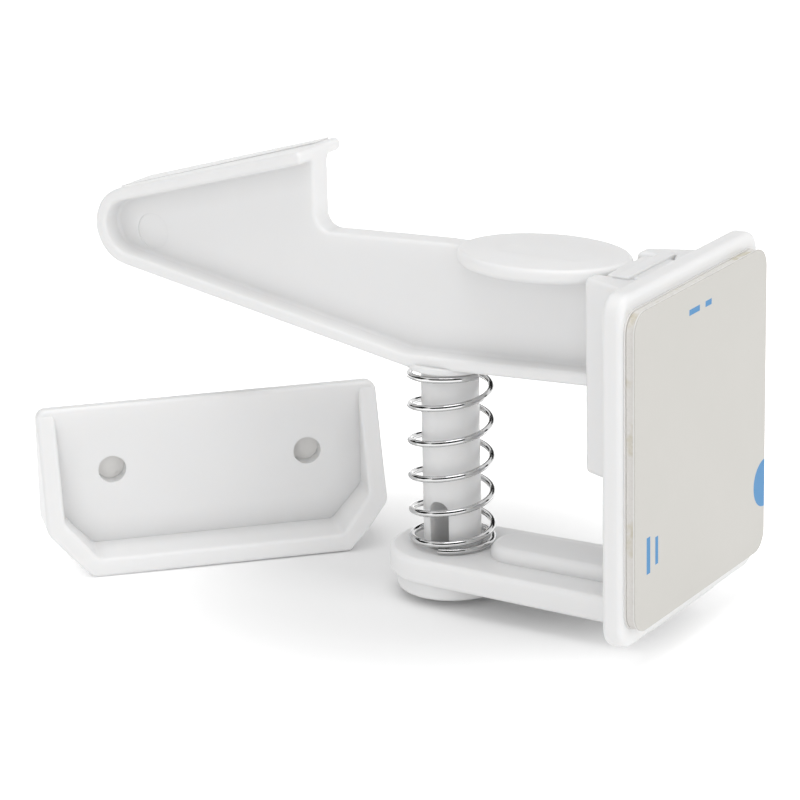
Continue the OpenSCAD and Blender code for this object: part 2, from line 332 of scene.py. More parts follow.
    def finish(self, material: bpy.types.Material, smooth_angle: float = 40) -> bpy.types.Object:
        """Cleans the skin, smooths its shading and gives it its material.

        Args:
            material: The finish.
            smooth_angle: Edges sharper than this, in degrees, stay sharp.

        Returns:
            The finished object.
        """
        obj = self.activate()
        bpy.ops.object.mode_set(mode="EDIT")
        bpy.ops.mesh.select_all(action="SELECT")
        bpy.ops.mesh.remove_doubles(threshold=0.001 * MM)
        bpy.ops.mesh.normals_make_consistent(inside=False)
        bpy.ops.object.mode_set(mode="OBJECT")
        bpy.ops.object.shade_smooth_by_angle(angle=math.radians(smooth_angle))
        self.apply("WEIGHTED_NORMAL", keep_sharp=True, weight=50)
        obj.data.materials.clear()
        obj.data.materials.append(material)
        return obj


class Link:
    """A shader socket that takes part in sums."""

    def __init__(self, tree: "ShaderTree", socket: bpy.types.NodeSocket) -> None:
        """Keeps the tree and the socket."""
        self.tree = tree
        self.socket = socket

    def _math(self, operation: str, a: Any, b: Any) -> "Link":
        """Adds one Math node."""
        return self.tree.node("ShaderNodeMath", {"operation": operation}, {0: a, 1: b})

    def __add__(self, other: Any) -> "Link":
        """Sum."""
        return self._math("ADD", self, other)

    __radd__ = __add__

    def __sub__(self, other: Any) -> "Link":
        """Difference."""
        return self._math("SUBTRACT", self, other)

    def __rsub__(self, other: Any) -> "Link":
        """Difference from a number."""
        return self._math("SUBTRACT", other, self)

    def __mul__(self, other: Any) -> "Link":
        """Product."""
        return self._math("MULTIPLY", self, other)

    __rmul__ = __mul__

    def between(self, low: float, high: float) -> "Link":
        """A mask that is 1 where the value lies between two numbers."""
        above = self._math("GREATER_THAN", self, low)
        below = self._math("LESS_THAN", self, high)
        return above * below


class ShaderTree:
    """The node tree of one material."""

    def __init__(self, name: str) -> None:
        """Starts a material with its Principled shader.

        Args:
            name: Name of the material.
        """
        self.material = bpy.data.materials.new(name)
        self.material.use_nodes = True
        self.tree = self.material.node_tree
        self.shader = self.tree.nodes["Principled BSDF"]

    def node(self, kind: str, settings: dict[str, Any], inputs: dict[Any, Any],
             output: Any = 0) -> Link:
        """Adds a node.

        Args:
            kind: Blender's name of the node type.
            settings: The node's own settings; "stops" fills a colour ramp.
            inputs: Values or links by socket name or number.
            output: Name or number of the socket that is returned.

        Returns:
            The output as a link.
        """
        node = self.tree.nodes.new(kind)
        for key, value in settings.items():
            if key == "stops":
                self._fill_ramp(node.color_ramp, value)
            else:
                setattr(node, key, value)
        for key, value in inputs.items():
            self.feed(node.inputs[key], value)
        return Link(self, node.outputs[output])

    def feed(self, socket: bpy.types.NodeSocket, value: Any) -> None:
        """Links a value to a socket, or sets it there.

        Args:
            socket: The socket.
            value: A link, or what the socket holds by itself.
        """
        if isinstance(value, Link):
            self.tree.links.new(value.socket, socket)
        else:
            socket.default_value = value

    def dress(self, **inputs: Any) -> None:
        """Sets or links sockets of the Principled shader, with _ in place of a space."""
        for key, value in inputs.items():
            self.feed(self.shader.inputs[key.replace("_", " ")], value)

    @staticmethod
    def _fill_ramp(ramp: bpy.types.ColorRamp, stops: list[tuple[float, float]]) -> None:
        """Sets a grey ramp's stops.

        Args:
            ramp: The ramp.
            stops: Place and grey of each stop.
        """
        while len(ramp.elements) < len(stops):
            ramp.elements.new(0.5)
        for element, (place, grey) in zip(ramp.elements, stops):
            element.position = place
            element.color = (grey, grey, grey, 1)

    def place(self) -> Link:
        """Object coordinates."""
        return self.node("ShaderNodeTexCoord", {}, {}, "Object")

    def axis(self, place: Link, name: str) -> Link:
        """One axis of a vector."""
        return self.node("ShaderNodeSeparateXYZ", {}, {0: place}, name)

    def noise(self, scale: float, detail: float = 2, roughness: float = 0.5,
              place: Link | None = None) -> Link:
        """Soft noise from 0 to 1.

        Args:
            scale: Features in a metre.
            detail: Number of finer layers.
            roughness: Share of the finer layers.
            place: Coordinates, Object ones if none are given.

        Returns:
            The noise as a link.
        """
        inputs = {"Vector": place or self.place(), "Scale": scale, "Detail": detail,
                  "Roughness": roughness}
        return self.node("ShaderNodeTexNoise", {}, inputs, 0)

    def mix(self, factor: Any, a: Any, b: Any) -> Link:
        """Mixes two colours."""
        return self.node("ShaderNodeMix", {"data_type": "RGBA"}, {0: factor, 6: a, 7: b}, 2)

    def bump(self, height: Link, distance: float, strength: float = 1,
             normal: Link | None = None) -> Link:
        """Bump from a height.

        Args:
            height: The height, from 0 to 1.
            distance: What a height of 1 stands for, in metres.
            strength: Share of the bump that shows.
            normal: Bump that this one is laid over.

        Returns:
            The normal as a link.
        """
        inputs = {"Height": height, "Distance": distance, "Strength": strength}
        if normal:
            inputs["Normal"] = normal
        return self.node("ShaderNodeBump", {}, inputs)


def rgba(grey: float) -> Colour:
    """A plain grey."""
    return (grey, grey, grey, 1)


@dataclass(frozen=True)
class MouldedPlastic:
    """White injection-moulded plastic with a fine satin grain, and painted shade in its creases."""

    name: str = "white_moulded_plastic"
    tint: float = 0.89
    mottle: float = 0.012
    roughness: float = 0.34
    roughness_spread: float = 0.12
    cloud_scale: float = 60
    rub_scale: float = 420
    grain_scale: float = 5200
    grain_height: float = 0.006
    wave_scale: float = 95
    wave_height: float = 0.03
    refraction: float = 1.49
    glow: float = 0.6
    glow_depth: float = 1.2
    # Share by which the painted shade darkens the deepest creases, corners and recesses
    painted_corner_shade: float = 0.2
    corner_reach: float = 4
    corner_samples: int = 8

    def material(self) -> bpy.types.Material:
        """Builds the material."""
        tree = ShaderTree(self.name)
        cloud = tree.noise(self.cloud_scale, 3)
        fine = tree.noise(self.grain_scale, 2, 0.6)
        wave = tree.noise(self.wave_scale, 1)
        colour = tree.mix(cloud, rgba(self.tint - self.mottle), rgba(self.tint + self.mottle / 2))
        # Painted shade: darker base colour where the piece's own surfaces close in, in creases and
        # corners
        openness = tree.node("ShaderNodeAmbientOcclusion",
                             {"samples": self.corner_samples, "only_local": True},
                             {"Distance": self.corner_reach * MM}, "AO")
        colour = tree.mix(openness, rgba(self.tint * (1 - self.painted_corner_shade)), colour)
        satin = self.roughness + (tree.noise(self.rub_scale, 2) - 0.5) * self.roughness_spread
        waved = tree.bump(wave, self.wave_height * MM, 0.6)
        grained = tree.bump(fine, self.grain_height * MM, 0.5, waved)
        tree.dress(Base_Color=colour, Roughness=satin, Normal=grained, IOR=self.refraction,
                   Subsurface_Weight=self.glow, Subsurface_Scale=self.glow_depth * MM,
                   Subsurface_Radius=(1.0, 0.95, 0.9))
        return tree.material


@dataclass(frozen=True)
class SpringSteel:
    """Bright drawn spring wire with fine lengthwise marks."""

    name: str = "bright_spring_wire"
    dull_grey: float = 0.59
    bright_grey: float = 0.70
    roughness: float = 0.1
    roughness_spread: float = 0.08
    patina_scale: float = 300
    streak_scale: float = 2600
    streak_height: float = 0.004

    def material(self) -> bpy.types.Material:
        """Builds the material."""
        tree = ShaderTree(self.name)
        streaks = tree.noise(self.streak_scale, 3, 0.6)
        patina = tree.noise(self.patina_scale, 2)
        colour = tree.mix(patina, rgba(self.dull_grey), rgba(self.bright_grey))
        rough = self.roughness + (streaks - 0.5) * self.roughness_spread
        tree.dress(Base_Color=colour, Metallic=1.0, Roughness=rough,
                   Normal=tree.bump(streaks, self.streak_height * MM, 0.6))
        return tree.material


@dataclass(frozen=True)
class FoamEdge:
    """Pale closed-cell foam with small open cells and faint amber stains on its cut edge."""

    name: str = "cream_tape_foam"
    stained: Colour = (0.64, 0.60, 0.50, 1)
    clean: Colour = (0.76, 0.74, 0.71, 1)
    stain_scale: float = 220
    stain_range: Point2 = (0.34, 0.46)
    cell_scale: float = 3800
    cell_depth: float = 0.08
    roughness: float = 0.75

    def material(self) -> bpy.types.Material:
        """Builds the material."""
        tree = ShaderTree(self.name)
        cells = tree.node("ShaderNodeTexVoronoi", {},
                          {"Vector": tree.place(), "Scale": self.cell_scale}, 0)
        stain = tree.noise(self.stain_scale, 3, 0.6)
        low, high = self.stain_range
        aged = tree.node("ShaderNodeMapRange", {}, {0: stain, 1: low, 2: high})
        colour = tree.mix(aged, self.stained, self.clean)
        tree.dress(Base_Color=colour, Roughness=self.roughness,
                   Normal=tree.bump(cells, self.cell_depth * MM, 0.7))
        return tree.material


@dataclass(frozen=True)
class AdhesiveFilm:
    """Thin tacky film, almost white and glossy."""

    name: str = "tacky_adhesive_film"
    dull: Colour = (0.82, 0.81, 0.79, 1)
    fresh: Colour = (0.88, 0.87, 0.85, 1)
    smear_scale: float = 500
    smear_height: float = 0.01
    roughness: float = 0.25
    roughness_spread: float = 0.2

    def material(self) -> bpy.types.Material:
        """Builds the material."""
        tree = ShaderTree(self.name)
        smear = tree.noise(self.smear_scale, 3, 0.6)
        colour = tree.mix(smear, self.dull, self.fresh)
        tree.dress(Base_Color=colour, Roughness=self.roughness + smear * self.roughness_spread,
                   Normal=tree.bump(smear, self.smear_height * MM, 0.6))
        return tree.material


@dataclass(frozen=True)
class LinerPaper:
    """Pale waxed release paper with faint fibres and plain blue marks on the plate's sheet."""

    name: str = "waxed_release_paper"
    grey: float = 0.65
    cloud_scale: float = 70
    fibre_scale: float = 1500
    fibre_height: float = 0.006
    roughness: float = 0.42
    roughness_spread: float = 0.12
    ink: Colour = (0.06, 0.27, 0.56, 1)
    marks: tuple[tuple[Point2, Point2], ...] = (
        ((-15.8, -14.8), (-14.0, -9.0)), ((-13.4, -12.6), (-13.4, -9.6)),
        ((-4.0, -1.0), (17.6, 18.4)), ((0.6, 2.4), (17.6, 18.4)),
    )
    spot: tuple[float, float, float] = (18.9, -12.0, 3.4)

    def material(self) -> bpy.types.Material:
        """Builds the material."""
        tree = ShaderTree(self.name)
        cloud = tree.noise(self.cloud_scale, 4, 0.6)
        fibre = tree.noise(self.fibre_scale, 4, 0.7)
        paper = tree.mix(cloud, (self.grey - 0.010, self.grey - 0.022, self.grey - 0.062, 1),
                         (self.grey + 0.024, self.grey + 0.006, self.grey - 0.030, 1))
        paper = tree.mix(self.print_mask(tree), paper, self.ink)
        tree.dress(Base_Color=paper, Roughness=self.roughness + fibre * self.roughness_spread,
                   Normal=tree.bump(fibre, self.fibre_height * MM, 0.5))
        return tree.material

    def print_mask(self, tree: ShaderTree) -> Link:
        """Marks the dashes and the half round spot, on the plate's sheet alone.

        Args:
            tree: The tree that the mask is built in.

        Returns:
            A link that is 1 on the marks and 0 elsewhere.
        """
        place = tree.place()
        x, y, z = (tree.axis(place, name) for name in "XYZ")
        across, up, wide = (value * MM for value in self.spot)
        beside, above = y - across, z - up
        mask = (beside * beside + above * above).between(-1, wide * wide)
        for (y0, y1), (z0, z1) in self.marks:
            mask = mask + y.between(y0 * MM, y1 * MM) * z.between(z0 * MM, z1 * MM)
        return mask * x.between(-MM, MM)


@dataclass
class FinishSet:
    """The materials that the pieces share."""

    plastic: bpy.types.Material = field(default_factory=lambda: MouldedPlastic().material())
    steel: bpy.types.Material = field(default_factory=lambda: SpringSteel().material())
    foam: bpy.types.Material = field(default_factory=lambda: FoamEdge().material())
    adhesive: bpy.types.Material = field(default_factory=lambda: AdhesiveFilm().material())
    liner: bpy.types.Material = field(default_factory=lambda: LinerPaper().material())


def hand_over(obj: bpy.types.Object, body: str, slot: str, *nodes: str) -> bpy.types.Object:
    """Sets a finished piece on its body in place of its CAD nodes.

    Args:
        obj: The finished piece.
        body: Body that it rides on.
        slot: Not used.
        nodes: CAD nodes that it stands for.

    Returns:
        The piece.
    """
    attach(obj, body)
    if nodes:
        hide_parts(*nodes)
    LOG.info("%s rides on %s", obj.name, body)
    return obj


@dataclass
class Bracket:
    """The white moulding with the mounting plate, the track and the shelf."""

    finishes: FinishSet
    plate_low: Point2 = (-19.6, -24.0)
    plate_high: Point2 = (19.6, 23.6)
    plate_x: Point2 = (-4.7, -1.6)
    plate_corner: float = 3
    plate_round: float = 0.9
    sink: float = 2.2
    post_x: float = -38.5
    shelf_z: Point2 = (-24.9, -21.2)
    shelf_end: float = 8.8
    shelf_root: float = 9.6
    shelf_round: float = 0.85
    rib_start: float = 6.7
    rib_round: float = 1.4
    rib_half: float = 4.25
    rib_top: float = -19.3
    guide_radius: float = 7.8
    guide_low: float = -27.3
    guide_round: float = 0.7
    hole_radius: float = 4.08
    cheek_front: float = -13.0
    cheek_inner: float = 5.7
    cheek_outer: float = 8.5
    cheek_flare: float = 5
    cheek_z: Point2 = (-4.5, 22.2)
    cheek_round: float = 0.9
    groove_x: Point2 = (-9.8, -7.2)
    groove_out: float = 6.9
    groove_low: float = -3.17

    def build(self) -> bpy.types.Object:
        """Builds the whole moulding."""
        body = self.plate()
        body.weld(self.cheek(1), self.cheek(-1), self.shelf().weld(self.guide()), self.rib())
        hole = Workpiece.rod("post_hole", (self.post_x, 0), self.hole_radius,
                             self.guide_low - OVERRUN, self.shelf_z[1] + OVERRUN)
        body.carve(hole)
        body.obj.name = "moulded_bracket"
        return hand_over(body.finish(self.finishes.plastic), "base", "white_plastic",
                         "base_bracket")

    def plate(self) -> Workpiece:
        """The plate, with round corners and soft edges."""
        (y0, z0), (y1, z1), (x0, x1) = self.plate_low, self.plate_high, self.plate_x
        plate = Workpiece.block("plate", (x0, y0, z0), (x1, y1, z1))
        plate.round_edges(self.plate_corner, lambda a, b: abs(a.x - b.x) > SLACK, 10)
        return plate.soften(self.plate_round, 5)

    def shelf(self) -> Workpiece:
        """The shelf with its full round end."""
        outline = arc((self.post_x, 0), self.shelf_end, 90, 270, 40)
        end = self.plate_x[0] + self.sink
        outline += [(end, -self.shelf_root), (end, self.shelf_root)]
        shelf = Workpiece.prism("shelf", outline, Plane.XY, *self.shelf_z)
        return shelf.soften(self.shelf_round, 5)

    def rib(self) -> Workpiece:
        """The rib on the shelf, with its round end beside the spring."""
        middle = (self.post_x + self.rib_start + self.rib_half, 0)
        outline = arc(middle, self.rib_half, 90, 270, 24)
        end = self.plate_x[0] + self.sink
        outline += [(end, -self.rib_half), (end, self.rib_half)]
        rib = Workpiece.prism("rib", outline, Plane.XY, self.shelf_z[0] + OVERRUN, self.rib_top)
        top = self.rib_top - SLACK
        return rib.round_edges(self.rib_round, lambda a, b: min(a.z, b.z) > top, 8)

    def guide(self) -> Workpiece:
        """The boss under the shelf."""
        guide = Workpiece.rod("guide", (self.post_x, 0), self.guide_radius, self.guide_low,
                              self.shelf_z[1] - OVERRUN)
        low = self.guide_low + SLACK
        return guide.round_edges(self.guide_round, lambda a, b: max(a.z, b.z) < low, 5)

    def cheek(self, side: int) -> Workpiece:
        """One wall of the track.

        Args:
            side: 1 for the far cheek, -1 for the near one.

        Returns:
            The cheek with its groove.
        """
        x0, x1 = self.cheek_front, self.plate_x[0]
        reach = x1 - x0
        outline = [
            (x0, side * self.cheek_inner), (x1 + self.sink, side * self.cheek_inner),
            (x1 + self.sink, side * (self.cheek_outer + self.cheek_flare)),
            (x1, side * (self.cheek_outer + self.cheek_flare)),
            (x1 - reach / 4, side * (self.cheek_outer + self.cheek_flare / 2)),
            (x0, side * self.cheek_outer),
        ]
        cheek = Workpiece.prism("cheek", outline, Plane.XY, *self.cheek_z)
        cheek.soften(self.cheek_round, 5, 30)
        inner = 0 if side > 0 else -self.groove_out
        outer = self.groove_out if side > 0 else 0
        groove = Workpiece.block("groove", (self.groove_x[0], inner, self.groove_low),
                                 (self.groove_x[1], outer, self.cheek_z[1] + OVERRUN))
        return cheek.carve(groove)


@dataclass
class LatchArm:
    """The white moulding with the hook, the thumb pad and the post."""

    finishes: FinishSet
    half_width: float = 5.2
    web: float = 3.8
    flange: float = 1.8
    nose: Point2 = (-88.2, 19.0)
    nose_radius: float = 5.7
    ramp_angle: float = 15.7
    catch_x: float = -58.5
    lip_round: float = 0.7
    catch_fillet: float = 2.2
    bar_catch_z: float = 21.4
    bar_top: float = 22.1
    bend: Point2 = (-42.6, 4.91)
    tail_rise: float = 2.65
    tail_x: float = -5.2
    pocket_end: float = -11.6
    soft: float = 0.6
    land_x: Point2 = (-91.4, -60.6)
    land_near: Point2 = (-2.0, 1.7)
    land_far: float = 5.22
    land_rise: Point2 = (0.0, 0.18)
    land_depth: float = 0.9
    tool_reach: float = 9
    tool_z: Point2 = (10, 40)
    score_width: float = 0.5
    score_depth: float = 0.5
    mark_place: Point2 = (-86.1, 18.0)
    mark_radius: float = 2.6
    mark_depth: float = 0.12
    post_x: float = -38.5
    post_radius: float = 4.0
    post_low: float = -28.3
    post_round: float = 0.35
    seat_radius: float = 6.0
    seat_z: float = 4.6
    seat_height: float = 0.95
    seat_round: float = 0.25
    pad_x: float = -23.5
    pad_size: Point2 = (24.8, 18.4)
    pad_z: Point2 = (20.4, 22.4)
    pad_round: float = 0.8
    dish_steps: int = 4
    dish_inset: float = 1.4
    dish_drop: float = 0.09
    slot_width: float = 2.9
    slot_top: float = -14.2
    slot_turn: float = 2
    slot_reach: float = 7
    barb_radius: float = 4.9
    barb_width: float = 5.2
    barb_z: Point2 = (-28.08, -27.4)
    key_x: Point2 = (-9.5, -7.5)
    key_out: float = 6.6
    key_low: float = 6.94
    key_top: float = 22.5
    key_round: float = 0.25

    def ramp(self, x: float, inset: float = 0) -> float:
        """Height of the ramp's line.

        Args:
            x: Place along the arm.
            inset: Distance under the line, square to it.

        Returns:
            The height.
        """
        angle = math.radians(self.ramp_angle)
        return (self.nose[1] + (self.nose_radius - inset) / math.cos(angle)
                + (x - self.nose[0]) * math.tan(angle))

    def under(self, x: float) -> float:
        """Height of the lower edge behind the bend."""
        return self.bend[1] + (x - self.bend[0]) * math.tan(math.radians(self.tail_rise))

    def under_normal(self) -> float:
        """Angle of the outward normal of the lower edge before the bend, in degrees."""
        dx, dz = self.nose[0] - self.bend[0], self.nose[1] - self.bend[1]
        far = math.hypot(dx, dz)
        return math.degrees(math.atan2(dz, dx) + math.asin(self.nose_radius / far)) + 90

    def outline(self) -> list[Point2]:
        """Outer edge of the arm, round where the ramp ends over the catch face."""
        r = self.lip_round
        middle = (self.catch_x - r, self.ramp(self.catch_x - r, r))
        lip = arc(middle, r, 0, 90 + self.ramp_angle, 10)
        nose = arc(self.nose, self.nose_radius, 90 + self.ramp_angle, self.under_normal(), 32)
        rest = [self.bend, (self.tail_x, self.under(self.tail_x)), (self.tail_x, self.bar_top),
                (self.post_x, self.bar_top), (self.catch_x + self.catch_fillet, self.bar_catch_z)]
        fillet = arc((self.catch_x + self.catch_fillet, self.bar_catch_z + self.catch_fillet),
                     self.catch_fillet, 270, 180, 10)
        return lip + nose + rest + fillet[1:]

    def pocket(self) -> list[Point2]:
        """Outline of the open channel, bounded by the flange."""
        inner = self.nose_radius - self.flange
        turn = (self.under_normal() - 90 - (180 + self.tail_rise)) / 2
        shift = self.flange * math.tan(math.radians(abs(turn)))
        rise = self.flange / math.cos(math.radians(self.tail_rise))
        bend_x = self.bend[0] - shift
        far = self.catch_x + OVERRUN
        return ([(far, self.ramp(far, self.flange))]
                + arc(self.nose, inner, 90 + self.ramp_angle, self.under_normal(), 32)
                + [(bend_x, self.under(bend_x) + rise),
                   (self.pocket_end, self.under(self.pocket_end) + rise),
                   (self.pocket_end, self.bar_top + OVERRUN), (far, self.bar_top + OVERRUN)])

    def build(self) -> bpy.types.Object:
        """Builds the whole moulding."""
        arm = Workpiece.prism("moulded_arm", self.outline(), Plane.XZ, -self.half_width,
                              self.half_width)
        for side in (-1, 1):
            inner, outer = side * self.web / 2, side * (self.half_width + OVERRUN)
            arm.carve(Workpiece.prism("channel", self.pocket(), Plane.XZ, min(inner, outer),
                                      max(inner, outer)))
        arm.soften(self.soft, 4)
        arm.weld(self.thumb_pad(), self.seat(), self.post(), self.keys(), self.ramp_land())
        arm.carve(self.ramp_score())
        for side in (-1, 1):
            arm.carve(self.ejector_mark(side))
        return hand_over(arm.finish(self.finishes.plastic), "arm", "white_plastic", "latch_arm")

    def on_ramp(self, name: str, rise: Point2, inset: float) -> Workpiece:
        """A slice along the ramp, from past its near edge to the land's far edge.

        Args:
            name: Name of the piece.
            rise: Height over the ramp's line at its two ends.
            inset: Depth of its lower side under that line.

        Returns:
            The slice.
        """
        x0, x1 = self.land_x
        outline = [(x0, self.ramp(x0, inset)), (x1, self.ramp(x1, inset)),
                   (x1, self.ramp(x1, -rise[1])), (x0, self.ramp(x0, -rise[0]))]
        return Workpiece.prism(name, outline, Plane.XZ, -self.half_width - OVERRUN,
                               self.land_far)

    def ramp_land(self) -> Workpiece:
        """The flat land along the far edge of the ramp, which keeps a sharp edge."""
        (x0, x1), (y0, y1) = self.land_x, self.land_near
        near = [(x0 - OVERRUN, y0), (x0 - OVERRUN, -self.tool_reach),
                (x1 + OVERRUN, -self.tool_reach), (x1 + OVERRUN, y1)]
        land = self.on_ramp("ramp_land", self.land_rise, self.land_depth)
        return land.carve(Workpiece.prism("near_side", near, Plane.XY, *self.tool_z))

    def ramp_score(self) -> Workpiece:
        """The fine groove along the near edge of that land."""
        (x0, x1), (y0, y1), wide = self.land_x, self.land_near, self.score_width
        line = [(x0, y0 - wide), (x1, y1 - wide), (x1, y1), (x0, y0)]
        score = self.on_ramp("ramp_score", (OVERRUN, OVERRUN), self.score_depth)
        return score.meet(Workpiece.prism("score_band", line, Plane.XY, *self.tool_z))

    def ejector_mark(self, side: int) -> Workpiece:
        """The tool for the shallow round mark that an ejector pin leaves on the web.

        Args:
            side: 1 for the web's far face, -1 for the near one.

        Returns:
            The tool.
        """
        mark = Workpiece.rod("ejector_mark", (0, 0), self.mark_radius, -self.mark_depth,
                             self.mark_depth, 48)
        turn = Matrix.Rotation(math.radians(90), 4, "X")
        x, z = self.mark_place
        return mark.place(Matrix.Translation(Vector((x, side * self.web / 2, z)) * MM) @ turn)

    def thumb_pad(self) -> Workpiece:
        """The oval pad, with a soft rim and a shallow dish."""
        low, high = self.pad_z
        pad = Workpiece.rod("thumb_pad", (0, 0), 1, low, high, 96)
        scale = Matrix.Diagonal((self.pad_size[0] / 2, self.pad_size[1] / 2, 1, 1))
        pad.place(Matrix.Translation((self.pad_x * MM, 0, 0)) @ scale)
        pad.round_edges(self.pad_round, lambda a, b: abs(a.z - b.z) < SLACK, 6)
        pad.pick_faces(lambda c, n: n.z > 0.99 and c.z > high - SLACK)
        for _ in range(self.dish_steps):
            bpy.ops.mesh.inset(thickness=self.dish_inset * MM)
            bpy.ops.transform.translate(value=(0, 0, -self.dish_drop * MM))
        bpy.ops.object.mode_set(mode="OBJECT")
        return pad

    def seat(self) -> Workpiece:
        """The boss that the spring presses on."""
        top = self.seat_z + self.seat_height
        seat = Workpiece.rod("seat", (self.post_x, 0), self.seat_radius, self.seat_z, top)
        return seat.round_edges(self.seat_round, lambda a, b: abs(a.z - b.z) < SLACK, 4)

    def post(self) -> Workpiece:
        """The post with its slot and barbed end."""
        post = Workpiece.rod("post", (self.post_x, 0), self.post_radius, self.post_low,
                             self.seat_z + OVERRUN)
        low = self.post_low + SLACK
        post.round_edges(self.post_round, lambda a, b: max(a.z, b.z) < low, 3)
        turn = (Matrix.Translation((self.post_x * MM, 0, 0))
                @ Matrix.Rotation(math.radians(self.slot_turn), 4, "Z"))
        barb = Workpiece.rod("barb", (0, 0), self.barb_radius, *self.barb_z)
        corner = Vector((self.tool_reach, self.barb_width / 2, 0))
        sides = Workpiece.block("barb_sides", Vector((0, 0, self.barb_z[0] - OVERRUN)) - corner,
                                Vector((0, 0, self.barb_z[1] + OVERRUN)) + corner)
        post.weld(barb.meet(sides).place(turn))
        half = self.slot_width / 2
        outline = arc((0, self.slot_top - half), half, 0, 180, 16)
        outline += [(-half, self.post_low - OVERRUN), (half, self.post_low - OVERRUN)]
        slot = Workpiece.prism("slot", outline, Plane.XZ, -self.slot_reach, self.slot_reach)
        return post.carve(slot.place(turn))

    def keys(self) -> Workpiece:
        """The two keys that run in the cheeks' grooves, as one bar across the tail."""
        bar = Workpiece.block("keys", (self.key_x[0], -self.key_out, self.key_low),
                              (self.key_x[1], self.key_out, self.key_top))
        return bar.soften(self.key_round, 3)


@dataclass
class ReturnSpring:
    """The open compression spring round the post."""

    finishes: FinishSet
    axis_x: float = -38.5
    coil_radius: float = 5.6
    wire: float = 0.9
    start_angle: float = -80
    shelf_top: float = -21.2
    seat_z: float = 4.6
    squeeze: float = 10
    turns: tuple[float, ...] = (0, 1.0, 2.0, 3.0, 4.0, 5.0, 6.0, 6.17)
    heights: tuple[float, ...] = (-20.73, -19.75, -15.3, -10.29, -5.21, -0.15, 3.9, 4.03)
    steps: int = 40

    def height(self, turn: float) -> float:
        """Height of the wire's middle, by a smooth line through the listed heights.

        Args:
            turn: Number of turns from the wire's lower end.

        Returns:
            The height in millimetres.
        """
        last = len(self.turns) - 2
        i = min(last, max(k for k in range(last + 1) if self.turns[k] <= turn))
        t0, t1 = self.turns[i], self.turns[i + 1]
        h0, h1 = self.heights[i], self.heights[i + 1]
        slope = (h1 - h0) / (t1 - t0)
        before = slope if i == 0 else (h0 - self.heights[i - 1]) / (t0 - self.turns[i - 1])
        after = slope
        if i < last:
            after = (self.heights[i + 2] - h1) / (self.turns[i + 2] - t1)
        m0 = min((before + slope) / 2, 3 * slope, 3 * before)
        m1 = min((after + slope) / 2, 3 * slope, 3 * after)
        u, span = (turn - t0) / (t1 - t0), t1 - t0
        return (h0 * (2 * u**3 - 3 * u**2 + 1) + h1 * (3 * u**2 - 2 * u**3)
                + span * (m0 * (u**3 - 2 * u**2 + u) + m1 * (u**3 - u**2)))

    def path(self) -> list[Vector]:
        """Points along the middle of the wire, in metres."""
        count = round(self.turns[-1] * self.steps)
        points = []
        for i in range(count + 1):
            turn = self.turns[-1] * i / count
            angle = math.radians(self.start_angle + 360 * turn)
            points.append(Vector((self.axis_x + self.coil_radius * math.cos(angle),
                                  self.coil_radius * math.sin(angle), self.height(turn))) * MM)
        return points

    def build(self) -> bpy.types.Object:
        """Sweeps the wire along its path and turns it into a mesh."""
        deselect_all()
        bpy.ops.curve.primitive_nurbs_path_add()
        obj = bpy.context.object
        curve = obj.data
        curve.splines.clear()
        points = self.path()
        spline = curve.splines.new("POLY")
        spline.points.add(len(points) - 1)
        for point, place in zip(spline.points, points):
            point.co = (*place, 1)
        curve.bevel_depth = self.wire * MM / 2
        curve.bevel_resolution = 4
        curve.use_fill_caps = True
        curve.twist_mode = "Z_UP"
        bpy.ops.object.convert(target="MESH")
        spring = Workpiece(bpy.context.object, "coiled_spring")
        piece = hand_over(spring.finish(self.finishes.steel, 50), "base", "spring_steel",
                          "return_spring")
        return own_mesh(piece)


@dataclass
class PlateTape:
    """The tape on the plate: adhesive, foam, adhesive and liner."""

    finishes: FinishSet
    size: Point2 = (37.8, 43)
    corner: float = 2.8
    foam_x: Point2 = (-1.45, -0.35)
    liner_x: Point2 = (-0.2, 0)
    foam_inset: float = 0.12
    foam_round: float = 0.2
    liner_round: float = 0.05

    def slab(self, name: str, x0: float, x1: float, inset: float) -> Workpiece:
        """A sheet with round corners.

        Args:
            name: Name of the sheet.
            x0: Its inner face.
            x1: Its outer face.
            inset: Distance that it stays inside the tape's edge.

        Returns:
            The sheet.
        """
        w, h = self.size[0] / 2 - inset, self.size[1] / 2 - inset
        sheet = Workpiece.block(name, (x0, -w, -h), (x1, w, h))
        return sheet.round_edges(self.corner - inset, lambda a, b: abs(a.x - b.x) > SLACK, 12)

    def build(self) -> list[bpy.types.Object]:
        """Builds the foam and the liner, and dresses the adhesive films."""
        foam = self.slab("tape_foam", *self.foam_x, self.foam_inset).soften(self.foam_round, 3)
        liner = self.slab("release_liner", *self.liner_x, 0).soften(self.liner_round, 2)
        pieces = [
            hand_over(foam.finish(self.finishes.foam), "base", "foam", "plate_foam_pad"),
            hand_over(liner.finish(self.finishes.liner), "base", "liner", "plate_release_liner"),
        ]
        for node in ("plate_inner_adhesive", "plate_outer_adhesive"):
            dress_node(node, self.finishes.adhesive)
        return pieces


def dress_node(node: str, material: bpy.types.Material) -> None:
    """Gives a CAD node that stays its material.

    Args:
        node: The node.
        material: Its finish.
    """
    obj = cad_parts[node]
    if not obj.material_slots:
        obj.data.materials.append(material)
    for slot in obj.material_slots:
        slot.material = material
    LOG.info("%s keeps its CAD shape", node)


